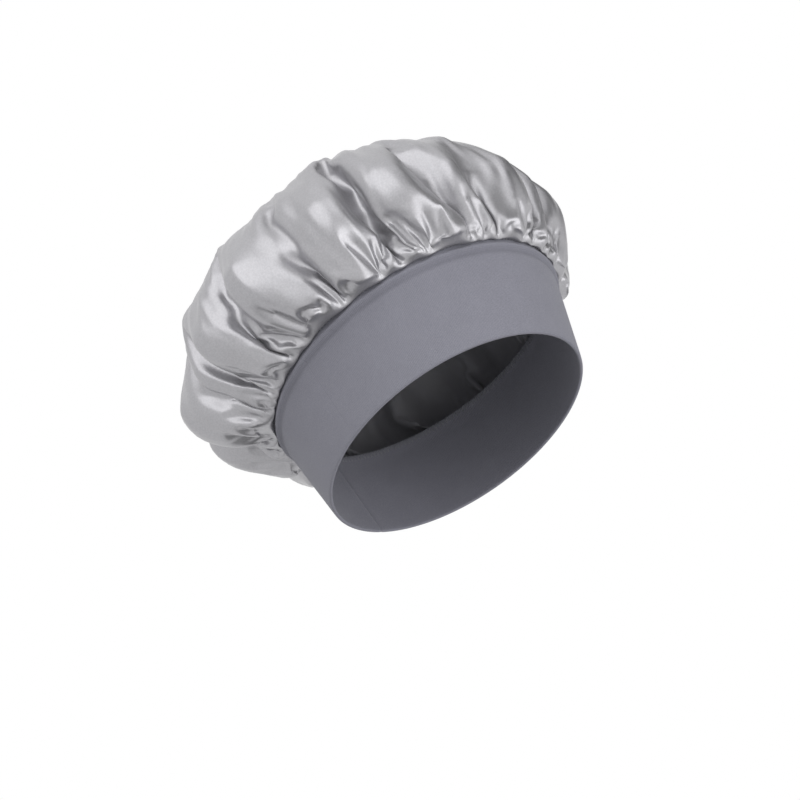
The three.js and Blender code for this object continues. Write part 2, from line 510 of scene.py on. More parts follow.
@dataclass(frozen=True)
class ThreadFinish:
    """Grey spun sewing thread."""

    dark: Colour = (0.27, 0.27, 0.29, 1)
    light: Colour = (0.43, 0.43, 0.46, 1)
    roughness: tuple[float, float] = (0.45, 0.7)
    sheen: float = 0.1
    fine_share: float = 0.5
    relief: float = 0.04 * MM
    grain_scale: float = 4200.0
    mottle_scale: float = 120.0

    def material(self, dresser: Dresser) -> bpy.types.Material:
        """Build the thread's material.

        Args:
            dresser: The shared node group's holder.

        Returns:
            The material.
        """
        material, board, shader = dresser.start("grey_thread")
        place = board.add("TexCoord").outputs["Object"]
        fine, broad = dresser.grain(board, place, self.grain_scale, self.mottle_scale)
        tone = board.weigh(fine, broad, self.fine_share)
        board.feed(shader.inputs["Base Color"], board.blend(tone, self.dark, self.light))
        board.feed(shader.inputs["Roughness"], board.spread(fine, *self.roughness))
        board.emboss(shader, fine, self.relief)
        shader.inputs["Sheen Weight"].default_value = self.sheen
        return material


@dataclass(frozen=True)
class FloorFinish:
    """A plain pale floor that fades into the white background and is seen from above only."""

    pale: Colour = (0.86, 0.86, 0.86, 1)
    paler: Colour = (0.90, 0.90, 0.90, 1)
    cloud_scale: float = 3.0
    roughness: float = 0.9
    lift: float = 0.34
    fade_from: float = 0.5
    fade_to: float = 1.2

    def material(self, dresser: Dresser) -> bpy.types.Material:
        """Build the floor's material.

        Args:
            dresser: The shared node group's holder.

        Returns:
            The material.
        """
        material, board, shader = dresser.start("pale_floor")
        place = board.add("TexCoord").outputs["Object"]
        cloud = board.noise(place, self.cloud_scale)
        board.feed(shader.inputs["Base Color"], board.blend(cloud, self.pale, self.paler))
        shader.inputs["Roughness"].default_value = self.roughness
        seen = board.add("LightPath").outputs["Is Camera Ray"]
        glow = board.blend(seen, BLACK, (self.lift, self.lift, self.lift, 1.0))
        board.feed(shader.inputs["Emission Color"], glow)
        shader.inputs["Emission Strength"].default_value = 1.0
        below = board.add("NewGeometry").outputs["Backfacing"]
        clear = board.math("MAXIMUM", board.reach(place, self.fade_from, self.fade_to), below)
        board.feed(shader.inputs["Alpha"], board.math("SUBTRACT", 1.0, clear))
        return material


# The band's wall, which every piece is measured from


@dataclass(frozen=True)
class BandWall:
    """The band's inner wall: an oval that widens from the hem up to the seam."""

    hem_half_width: float = 77.5 * MM
    hem_half_length: float = 95.5 * MM
    seam_half_width: float = 87.5 * MM
    seam_half_length: float = 107.0 * MM
    height: float = 62.5 * MM

    def half_axes(self, z: float) -> tuple[float, float]:
        """Give the oval's size at a height.

        Args:
            z: The height above the hem.

        Returns:
            The half width and the half length.
        """
        share = min(max(z / self.height, 0.0), 1.0)
        half_width = self.hem_half_width + (self.seam_half_width - self.hem_half_width) * share
        half_length = self.hem_half_length + (self.seam_half_length - self.hem_half_length) * share
        return half_width, half_length

    def point(self, turn: float, out: float, z: float) -> Vector:
        """Give a point beside the wall.

        Args:
            turn: The angle round the cap, from +X towards +Y.
            out: The distance outwards from the inner wall.
            z: The height above the hem.

        Returns:
            The point.
        """
        half_width, half_length = self.half_axes(z)
        return Vector(((half_width + out) * math.cos(turn), (half_length + out) * math.sin(turn), z))

    def seam_length(self) -> float:
        """Give the distance round the seam."""
        a, b = self.seam_half_width, self.seam_half_length
        return math.pi * (3 * (a + b) - math.sqrt((3 * a + b) * (a + 3 * b)))


@dataclass
class KnitBand:
    """One strip of jersey, folded double at the hem, its two cut edges up in the seam."""

    wall: BandWall
    ply: float = 0.8 * MM
    ply_gap: float = 0.8 * MM
    allowance: float = 7 * MM
    bead_middle: float = 60.5 * MM
    bead_half_height: float = 2.2 * MM
    bead_out: float = 1.8 * MM
    dip_middle: float = 57.0 * MM
    dip_half_height: float = 2.6 * MM
    dip_in: float = 0.5 * MM
    ring_step: float = 5.0 * MM
    fine_step: float = 0.8 * MM
    fine_from: float = 50.0 * MM
    hem_arc_steps: int = 6
    columns: int = 176
    joint_half_width: float = 1.3 * MM
    joint_depth: float = 0.55 * MM
    joint_segments: int = 4
    strip_width: float = 144 * MM
    strip_length: float = 500 * MM
    # The attribute that says where the groove under the bead gets painted shade
    groove_shade_mark: str = "groove_shade"

    def outer_out(self, z: float) -> float:
        """Give how far out the middle of the outer ply is at a height.

        Args:
            z: The height above the hem.

        Returns:
            The distance outwards from the inner wall.
        """
        out = self.ply * 1.5 + self.ply_gap
        rise = abs(z - self.bead_middle) / self.bead_half_height
        fall = abs(z - self.dip_middle) / self.dip_half_height
        return out + self.bead_out * ease(1 - rise) - self.dip_in * ease(1 - fall)

    def heights(self, fine_from: float) -> list[float]:
        """List the rings' heights from the hem's fold up to the cut edge.

        Args:
            fine_from: The height from which the rings lie close together.

        Returns:
            The heights, from the lowest.
        """
        low = (self.ply + self.ply_gap) / 2 + self.ply / 2
        top = self.wall.height + self.allowance
        rings = [float(z) for z in np.arange(low, fine_from - self.ring_step / 2, self.ring_step)]
        rings += [float(z) for z in np.arange(fine_from, top - self.fine_step / 2, self.fine_step)]
        return [*rings, top]

    def section(self) -> list[tuple[float, float]]:
        """Follow the strip's middle line from the outer ply's cut edge round the hem to the inner one's.

        Returns:
            The line's points, as distance outwards from the inner wall and height.
        """
        outer = [(self.outer_out(z), z) for z in reversed(self.heights(self.fine_from))]
        inner = [(self.ply / 2, z) for z in self.heights(self.wall.height + self.allowance)]
        radius = (self.ply + self.ply_gap) / 2
        centre = self.ply / 2 + radius
        fold = []
        for k in range(1, self.hem_arc_steps):
            angle = math.pi * k / self.hem_arc_steps
            fold.append((centre + radius * math.cos(angle), inner[0][1] - radius * math.sin(angle)))
        return outer + fold + inner

    def build(self) -> bpy.types.Object:
        """Extrude the folded strip ring by ring, sink the back joint and give the cloth its thickness.

        Returns:
            The band.
        """
        section = self.section()
        bpy.ops.object.select_all(action="DESELECT")
        bpy.ops.mesh.primitive_circle_add(vertices=self.columns, radius=1.0, fill_type="NOTHING")
        band = bpy.context.object
        band.name = "jersey_band"
        bpy.ops.object.mode_set(mode="EDIT")
        bpy.ops.mesh.select_all(action="SELECT")
        axes = (1.0, 1.0)
        height = 0.0
        for k, (out, z) in enumerate(section):
            half_width, half_length = self.wall.half_axes(z)
            wanted = (half_width + out, half_length + out)
            rise = (0.0, 0.0, z - height)
            if k:
                bpy.ops.mesh.extrude_edges_move(TRANSFORM_OT_translate={"value": rise})
            else:
                bpy.ops.transform.translate(value=rise)
            growth = (wanted[0] / axes[0], wanted[1] / axes[1], 1.0)
            bpy.ops.transform.resize(value=growth, center_override=(0.0, 0.0, z))
            axes = wanted
            height = z
        bpy.ops.mesh.select_all(action="SELECT")
        bpy.ops.mesh.normals_make_consistent(inside=False)
        bpy.ops.object.mode_set(mode="OBJECT")
        self.sink_joint(band)
        wall = band.modifiers.new("cloth", "SOLIDIFY")
        wall.thickness = self.ply
        wall.offset = 0.0
        subdivide(band, 1)
        apply_modifiers(band)
        bpy.ops.object.shade_smooth()
        self.mark_groove_shade(band)
        return band

    def mark_groove_shade(self, band: bpy.types.Object) -> None:
        """Mark the outer ply's face where it dips under the seam's bead, which the jersey darkens as
        painted shade.

        Args:
            band: The built band.
        """
        mark = band.data.attributes.new(self.groove_shade_mark, "FLOAT", "POINT")
        for vertex in band.data.vertices:
            half_width, half_length = self.wall.half_axes(vertex.co.z)
            beyond = math.hypot(vertex.co.x / half_width, vertex.co.y / half_length) - 1
            share = 1 - abs(vertex.co.z - self.dip_middle) / self.dip_half_height
            outside = beyond * half_width > self.ply + self.ply_gap / 2
            mark.data[vertex.index].value = max(share, 0.0) if outside else 0.0

    def sink_joint(self, band: bpy.types.Object) -> None:
        """Draw the strip's two ends in where they meet at the centre back.

        Args:
            band: The extruded band.
        """
        mesh = band.data
        bpy.ops.object.mode_set(mode="EDIT")
        bpy.ops.mesh.select_all(action="DESELECT")
        bpy.ops.mesh.select_mode(type="EDGE")
        bpy.ops.object.mode_set(mode="OBJECT")
        for edge in mesh.edges:
            ends = [mesh.vertices[index].co for index in edge.vertices]
            edge.select = all(abs(end.x) < NEAR and end.y > 0 for end in ends)
        bpy.ops.object.mode_set(mode="EDIT")
        bpy.ops.mesh.bevel(offset=self.joint_half_width, segments=self.joint_segments, affect="EDGES")
        bpy.ops.object.mode_set(mode="OBJECT")
        middle = self.ply + self.ply_gap / 2
        for vertex in mesh.vertices:
            half_length = self.wall.half_axes(vertex.co.z)[1]
            share = max(1 - abs(vertex.co.x) / self.joint_half_width, 0.0) if vertex.co.y > 0 else 0.0
            if share > 0:
                inwards = middle - (vertex.co.y - half_length)
                vertex.co.y += math.copysign(min(abs(inwards), self.joint_depth), inwards) * ease(share)

    def dress(self, band: bpy.types.Object, jersey: bpy.types.Material) -> None:
        """Give the band its jersey and fix it to the cap.

        Args:
            band: The built band.
            jersey: The band's material.
        """
        band.data.materials.append(jersey)
        join_cap(band, CadNode.BAND)


# The crown


@dataclass(frozen=True)
class DrapeSetting:
    """How the satin behaves while it is drawn up and settles. It is simulated ten times as large."""

    scale: float = 10.0
    frames: int = 64
    draw_from: int = 2
    draw_frames: int = 25
    steps: int = 6
    vertex_mass: float = 0.15
    stretch: float = 15.0
    shear: float = 5.0
    bend: float = 1.0
    damping: float = 5.0
    bend_damping: float = 0.5
    air: float = 2.0
    puff: float = 0.5
    weight: float = 0.075
    down: tuple[float, float, float] = (0.0085, 0.639, -0.769)


@dataclass
class Gathers:
    """The uneven billows round the crown, each drawn up in two small pleats at the seam."""

    billows: int = 18
    narrowest: float = 0.45
    widest: float = 1.6
    least_split: float = 0.3
    seed: int = 5
    slants: tuple[tuple[float, int, float], ...] = ((0.12, 3, 1.0), (0.08, 7, 2.0))
    billow_edges: list[float] = field(default_factory=list)
    pleat_edges: list[float] = field(default_factory=list)

    def __post_init__(self) -> None:
        """Draw the widths of the billows and pleats round the seam."""
        draw = random.Random(self.seed)
        widths = [draw.uniform(self.narrowest, self.widest) for _ in range(self.billows)]
        scale = FULL_TURN / sum(widths)
        turn = 0.0
        for width in widths:
            self.billow_edges.append(turn)
            split = draw.uniform(self.least_split, 1 - self.least_split)
            self.pleat_edges += [turn, turn + width * split * scale]
            turn += width * scale
        self.billow_edges.append(FULL_TURN)
        self.pleat_edges.append(FULL_TURN)

    @staticmethod
    def share(edges: list[float], turn: float) -> tuple[float, float]:
        """Find the fold at an angle.

        Args:
            edges: Where the folds start and end.
            turn: The angle round the seam.

        Returns:
            The fold's width as a share of the mean one, and how far through it the angle is.
        """
        turn %= FULL_TURN
        count = len(edges) - 1
        k = min(bisect.bisect_right(edges, turn) - 1, count - 1)
        width = edges[k + 1] - edges[k]
        return width * count / FULL_TURN, (turn - edges[k]) / width

    def pleat(self, turn: float) -> tuple[float, float]:
        """Give the pleat at an angle.

        Args:
            turn: The angle round the seam.

        Returns:
            How far out the cloth stands and how far it leans sideways, as shares of a mean pleat.
        """
        size, share = self.share(self.pleat_edges, turn)
        angle = FULL_TURN * share
        return size * (1 - math.cos(angle)), size * math.sin(angle)

    def billow(self, turn: float, depth: float) -> float:
        """Give how far the cloth stands out in a billow, which slants more the further in it is.

        Args:
            turn: The angle round the crown.
            depth: How far in from the seam, from 0 to 1 at the panel's middle.

        Returns:
            The height as a share of a mean billow's.
        """
        slant = sum(size * math.sin(waves * turn + phase) for size, waves, phase in self.slants)
        size, share = self.share(self.billow_edges, turn + slant * depth)
        return size * (0.5 - 0.5 * math.cos(FULL_TURN * share))


@dataclass
class SatinCrown:
    """A satin disc, drawn up onto the seam in gathers and puffed out."""

    wall: BandWall
    gathers: Gathers = field(default_factory=Gathers)
    drape: DrapeSetting = field(default_factory=DrapeSetting)
    panel_radius: float = 219.5 * MM
    disc_diameter: float = 450 * MM
    allowance: float = 7 * MM
    allowance_rows: int = 3
    allowance_out: float = 3.0 * MM
    allowance_wave: float = 0.15 * MM
    allowance_drop: float = 0.5 * MM
    turn_height: float = 62.9 * MM
    turn_out: float = 3.1 * MM
    turn_wave: float = 0.5 * MM
    rising_rows: tuple[tuple[float, float, float], ...] = (
        (4.2 * MM, 0.7 * MM, 1.6 * MM),
        (5.8 * MM, 1.9 * MM, 2.4 * MM),
    )
    sideways: float = 0.8 * MM
    turn_sideways: float = 0.3
    edge_columns: int = 576
    edge_step: float = 2.6 * MM
    edge_zone: float = 30 * MM
    inner_step: float = 4.0 * MM
    halvings: tuple[float, ...] = (85 * MM, 40 * MM, 18 * MM)
    hole: float = 4 * MM
    top_radius: float = 100 * MM
    top_rest: float = 98.5 * MM
    side_radius: float = 170 * MM
    side_rest: float = 166 * MM
    edge_radius: float = 235 * MM
    edge_rest: float = 158 * MM
    start_aspect: tuple[float, float] = (0.95, 1.04)
    start_back: float = 4 * MM
    start_lift: float = 2 * MM
    start_noise: float = 1.5 * MM
    start_cells: tuple[float, float] = (25.0, 60.0)
    start_fine: float = 0.5
    billow_height: float = 11.5 * MM
    billow_from: float = 60 * MM
    lean_side: float = -6.5 * MM
    lean_back: float = 4.5 * MM
    lean_height: float = 42 * MM
    tuck: float = 5 * MM
    tuck_turn: float = math.radians(-32)
    tuck_from: float = 8 * MM
    tuck_reach: float = 15 * MM
    slump: float = 3.5 * MM
    slump_radius: float = 55 * MM
    dent: float = 2.2 * MM
    dent_cells: float = 17.0
    dent_height: float = 50 * MM
    smooth_factor: float = 0.5
    smooth_rounds: int = 1
    top_zone: float = 62 * MM
    top_rounds: int = 24
    creases: int = 24
    crease_seed: int = 3
    crease_height: tuple[float, float] = (-0.9 * MM, 1.2 * MM)
    crease_width: tuple[float, float] = (2.0 * MM, 3.2 * MM)
    crease_start: tuple[float, float] = (0.04, 0.12)
    crease_end: tuple[float, float] = (0.35, 0.62)
    crease_slant: float = 0.5
    swell: float = 1.9 * MM
    swell_fine: float = 0.45
    swell_finer: float = 2.1
    swell_around: float = 14.0
    swell_along: float = 17.0
    swell_start: float = 0.16
    swell_end: tuple[float, float] = (0.45, 0.75)
    top_swell: float = 1.8 * MM
    top_cells: tuple[float, float] = (34.0, 16.0)
    flat_map: str = "flat_cloth"

    def rows(self) -> list[tuple[float, int]]:
        """List the panel's rings from the cut edge to the middle.

        Returns:
            Each ring's radius and number of points.
        """
        step = self.allowance / self.allowance_rows
        outside = range(self.allowance_rows, 0, -1)
        rings = [(self.panel_radius + step * k, self.edge_columns) for k in outside]
        radius = self.panel_radius
        while radius > self.hole:
            depth = self.panel_radius - radius
            halved = sum(radius < limit for limit in self.halvings) + (depth > self.edge_zone)
            rings.append((radius, self.edge_columns >> halved))
            radius -= self.edge_step if depth < self.edge_zone else self.inner_step
        return rings

    def rest_radius(self, radius: float) -> float:
        """Give the radius that a ring of the panel takes up when it hangs without strain.

        Args:
            radius: The ring's radius on the flat panel.

        Returns:
            The ring's radius at rest.
        """
        flat = (0.0, self.top_radius, self.side_radius, self.edge_radius)
        rest = (0.0, self.top_rest, self.side_rest, self.edge_rest)
        return float(np.interp(radius, flat, rest))

    def rest_drops(self, rings: list[tuple[float, int]]) -> dict[float, tuple[float, float]]:
        """Work out the relaxed panel, a shallow cone that keeps every length from the middle.

        Args:
            rings: The panel's rings.

        Returns:
            Each flat radius's relaxed radius and height.
        """
        drops = {}
        flat, rest, height = 0.0, 0.0, 0.0
        for radius, _ in reversed(rings):
            relaxed = self.rest_radius(radius)
            height -= math.sqrt(max((radius - flat) ** 2 - (relaxed - rest) ** 2, 0.0))
            flat, rest = radius, relaxed
            drops[radius] = (relaxed, height)
        return drops

    def seam_place(self, row: int, turn: float) -> Vector:
        """Give the sewn place of a point of the held rows.

        Args:
            row: The row, counted from the cut edge.
            turn: The angle round the seam.

        Returns:
            The point.
        """
        stand, side = self.gathers.pleat(turn)
        if row < self.allowance_rows:
            share = (self.allowance_rows - row) / self.allowance_rows
            height = self.turn_height + self.allowance * share - self.allowance_drop
            return self.wall.point(turn, self.allowance_out + self.allowance_wave * stand, height)
        if row == self.allowance_rows:
            out = self.turn_out + self.turn_wave * stand
            return self.wall.point(turn, out, self.turn_height + self.turn_sideways * self.sideways * side)
        out, rise, wave = self.rising_rows[row - self.allowance_rows - 1]
        return self.wall.point(turn, out + wave * stand, self.turn_height + rise + self.sideways * side)

    def panel(self) -> bpy.types.Object:
        """Make the panel with its rest, start and sewn shapes as shape keys.

        Returns:
            The panel, with the points that the seam holds, the free ones and the top's as vertex groups.
        """
        rings = self.rows()
        drops = self.rest_drops(rings)
        lift = self.turn_height + self.start_lift - drops[self.panel_radius][1]
        held_rows = self.allowance_rows + 1 + len(self.rising_rows)
        coarse, fine = self.start_cells
        beside = Vector((0.0, 0.0, 1.0))
        rest, start, sewn, flat, index = [], [], [], [], []
        for row, (radius, count) in enumerate(rings):
            relaxed, drop = drops[radius]
            inner = drops[rings[min(row + 1, len(rings) - 1)][0]]
            slope = Vector((inner[1] - drop, 0.0, relaxed - inner[0])).normalized()
            depth = 1 - radius / self.panel_radius
            swell = self.billow_height * ease(1 - depth / (1 - self.billow_from / self.panel_radius))
            index.append(range(len(rest), len(rest) + count))
            for k in range(count):
                turn = FULL_TURN * k / count
                c, s = math.cos(turn), math.sin(turn)
                place = Vector((relaxed * c, relaxed * s, 0.0))
                uneven = noise.noise(place * coarse) + self.start_fine * noise.noise(place * fine + beside)
                rest.append(Vector((place.x, place.y, drop)))
                stand = swell * self.gathers.billow(turn, depth)
                x = (place.x + c * slope.x * stand) * self.start_aspect[0]
                y = (place.y + s * slope.x * stand) * self.start_aspect[1] + self.start_back
                start.append(Vector((x, y, drop + lift + slope.z * stand + self.start_noise * uneven)))
                sewn.append(self.seam_place(row, turn) if row < held_rows else start[-1])
                flat.append((radius * c, radius * s))
        middle = len(rest)
        rest.append(Vector((0.0, 0.0, 0.0)))
        start.append(Vector((0.0, self.start_back, lift)))
        sewn.append(start[-1])
        flat.append((0.0, 0.0))
        mesh = bpy.data.meshes.new("satin_crown_cloth")
        mesh.from_pydata([point * self.drape.scale for point in start], [], self.faces(index, middle))
        cloth_map = mesh.uv_layers.new(name=self.flat_map)
        for loop in mesh.loops:
            cloth_map.data[loop.index].uv = flat[loop.vertex_index]
        crown = bpy.data.objects.new("gathered_satin_crown", mesh)
        bpy.context.scene.collection.objects.link(crown)
        crown.shape_key_add(name="start")
        for name, points in (("rest", rest), ("sewn", sewn)):
            key = crown.shape_key_add(name=name)
            scaled = [value * self.drape.scale for point in points for value in point]
            key.data.foreach_set("co", scaled)
        high = [row for ring, row in zip(rings, index) if ring[0] < self.top_zone]
        centre = [range(middle, middle + 1)]
        zones = {"held": index[:held_rows], "free": index[held_rows + 1 :] + centre, "top": high + centre}
        for name, rows in zones.items():
            points = [point for row in rows for point in row]
            crown.vertex_groups.new(name=name).add(points, 1.0, "REPLACE")
        return crown

    @staticmethod
    def faces(index: list[range], middle: int) -> list[tuple[int, ...]]:
        """Join the rings with faces, three to a step where a ring has half the points of the last.

        Args:
            index: Each ring's points.
            middle: The panel's middle point.

        Returns:
            The faces, facing up.
        """
        faces: list[tuple[int, ...]] = []
        for wide, narrow in zip(index, index[1:]):
            count = len(narrow)
            for k in range(count):
                after = narrow[(k + 1) % count]
                if len(wide) == count:
                    faces.append((wide[k], wide[(k + 1) % count], after, narrow[k]))
                    continue
                first, second, third = (wide[(2 * k + step) % len(wide)] for step in range(3))
                faces.append((first, second, narrow[k]))
                faces.append((second, after, narrow[k]))
                faces.append((second, third, after))
        last = index[-1]
        faces += [(last[k], last[(k + 1) % len(last)], middle) for k in range(len(last))]
        return faces

    def settle(self, crown: bpy.types.Object) -> None:
        """Draw the panel up onto the seam, puff it, let it settle and apply the result.

        Args:
            crown: The panel.
        """
        drape = self.drape
        scene = bpy.context.scene
        keys = crown.data.shape_keys.key_blocks
        cloth = crown.modifiers.new("drape", "CLOTH")
        cloth.collision_settings.use_collision = False
        cloth.collision_settings.use_self_collision = False
        cloth.point_cache.frame_start = 1
        cloth.point_cache.frame_end = drape.frames
        settings = {
            "quality": drape.steps,
            "mass": drape.vertex_mass,
            "tension_stiffness": drape.stretch,
            "compression_stiffness": drape.stretch,
            "shear_stiffness": drape.shear,
            "bending_stiffness": drape.bend,
            "tension_damping": drape.damping,
            "compression_damping": drape.damping,
            "shear_damping": drape.damping,
            "bending_damping": drape.bend_damping,
            "air_damping": drape.air,
            "vertex_group_mass": "held",
            "rest_shape_key": keys["rest"],
            "use_pressure": True,
            "uniform_pressure_force": drape.puff,
        }
        for name, value in settings.items():
            setattr(cloth.settings, name, value)
        usual_gravity = scene.gravity.copy()
        scene.gravity = Vector(drape.down) * usual_gravity.length * drape.weight
        for frame_number, share in ((drape.draw_from, 0.0), (drape.draw_from + drape.draw_frames, 1.0)):
            keys["sewn"].value = share
            keys["sewn"].keyframe_insert("value", frame=frame_number)
        for frame_number in range(1, drape.frames + 1):
            scene.frame_set(frame_number)
        select_only(crown)
        bpy.ops.object.convert(target="MESH")
        crown.data.transform(Matrix.Scale(1 / drape.scale, 4))
        scene.frame_set(1)
        scene.gravity = usual_gravity

    def lean(self, crown: bpy.types.Object) -> None:
        """Lean the puffed cloth to one side and back with height, and tuck its low front corner in.

        Args:
            crown: The draped crown.
        """
        half_width, half_length = self.wall.half_axes(self.wall.height)
        for vertex in crown.data.vertices:
            place = vertex.co
            share = ease((place.z - self.turn_height) / self.lean_height)
            beyond = max(math.hypot(place.x / half_width, place.y / half_length), MM)
            out = place.xy.length * (1 - 1 / beyond)
            turn = math.atan2(place.y, place.x)
            facing = max(math.cos(turn - self.tuck_turn), 0.0)
            pull = self.tuck * facing * (1 - share) * ease((out - self.tuck_from) / self.tuck_reach)
            place.x += self.lean_side * share - pull * math.cos(turn)
            place.y += self.lean_back * share - pull * math.sin(turn)

    def slacken_top(self, crown: bpy.types.Object) -> None:
        """Let the crown's middle slump a little and lie in soft, shallow dents.

        Args:
            crown: The leaned crown.
        """
        places = [vertex.co for vertex in crown.data.vertices]
        peak = max(places, key=lambda place: place.z).copy()
        for place in places:
            reach = (place.xy - peak.xy).length / self.slump_radius
            high = ease(1 - (peak.z - place.z) / self.dent_height)
            dents = noise.noise(Vector((place.x, place.y, 0.0)) * self.dent_cells)
            place.z += self.dent * dents * high - self.slump * math.exp(-reach * reach)

    def uneven(self, place: Vector) -> float:
        """Give a broad unevenness with a finer one on it."""
        return noise.noise(place) + self.swell_fine * noise.noise(place * self.swell_finer)

    def crease(self, crown: bpy.types.Object) -> None:
        """Press long, thin creases and soft swells into the puffed cloth, along the gathers.

        Args:
            crown: The smoothed crown.
        """
        mesh = crown.data
        corners = np.empty(len(mesh.loops), dtype=np.int32)
        mesh.loops.foreach_get("vertex_index", corners)
        cloth = np.empty(len(mesh.loops) * 2)
        mesh.uv_layers[self.flat_map].data.foreach_get("uv", cloth)
        flat = np.empty((len(mesh.vertices), 2))
        flat[corners] = cloth.reshape(-1, 2)
        radius = np.hypot(flat[:, 0], flat[:, 1])
        turn = np.arctan2(flat[:, 1], flat[:, 0])
        depth = 1 - radius / self.panel_radius
        shift = np.zeros(len(mesh.vertices))
        draw = random.Random(self.crease_seed)
        for k in range(self.creases):
            middle = FULL_TURN * (k + draw.random()) / self.creases
            height = draw.uniform(*self.crease_height)
            width = draw.uniform(*self.crease_width)
            start = draw.uniform(*self.crease_start)
            end = draw.uniform(*self.crease_end)
            slant = draw.uniform(-self.crease_slant, self.crease_slant)
            aside = (turn - middle - slant * (depth - start) + math.pi) % FULL_TURN - math.pi
            along = np.clip((depth - start) / (end - start), 0.0, 1.0)
            shift += height * np.sin(math.pi * along) * np.exp(-((aside * radius / width) ** 2))
        fade_from, fade_to = self.swell_end
        for k, (way, inwards) in enumerate(zip(turn, depth)):
            x, y = math.cos(way) * self.swell_around, math.sin(way) * self.swell_around
            side = Vector((x, y, inwards * self.panel_radius * self.swell_along))
            fade = 1 - ease((inwards - fade_from) / (fade_to - fade_from))
            shift[k] += self.swell * self.uneven(side) * ease(inwards / self.swell_start) * fade
            # Swells along the gathers would meet in a star on top, so there they run front to back
            over = Vector((flat[k, 0] * self.top_cells[0], flat[k, 1] * self.top_cells[1], 0.0))
            shift[k] += self.top_swell * self.uneven(over) * (1 - fade)
        points = np.empty(len(mesh.vertices) * 3)
        mesh.vertices.foreach_get("co", points)
        normals = np.empty(len(mesh.vertices) * 3)
        mesh.vertices.foreach_get("normal", normals)
        mesh.vertices.foreach_set("co", points + normals * np.repeat(shift, 3))
        mesh.update()

    def build(self) -> bpy.types.Object:
        """Make the panel, drape it, smooth it and crease it.

        Returns:
            The crown.
        """
        crown = self.panel()
        self.settle(crown)
        self.lean(crown)
        self.slacken_top(crown)
        for zone, rounds in (("free", self.smooth_rounds), ("top", self.top_rounds)):
            soften = crown.modifiers.new(f"soften_{zone}", "SMOOTH")
            soften.vertex_group = zone
            soften.factor = self.smooth_factor
            soften.iterations = rounds
        subdivide(crown, 1)
        apply_modifiers(crown)
        self.crease(crown)
        bpy.ops.object.shade_smooth()
        crown.vertex_groups.clear()
        return crown

    def dress(self, crown: bpy.types.Object, satin: bpy.types.Material, band: bpy.types.Object) -> None:
        """Give the crown its satin and fix it to the cap.

        Args:
            crown: The built crown.
            satin: The crown's material.
            band: The band that it is sewn to. Not used.
        """
        crown.data.materials.append(satin)
        join_cap(crown, CadNode.CROWN)


# The sewing

StitchPoint = tuple[float, float, float]


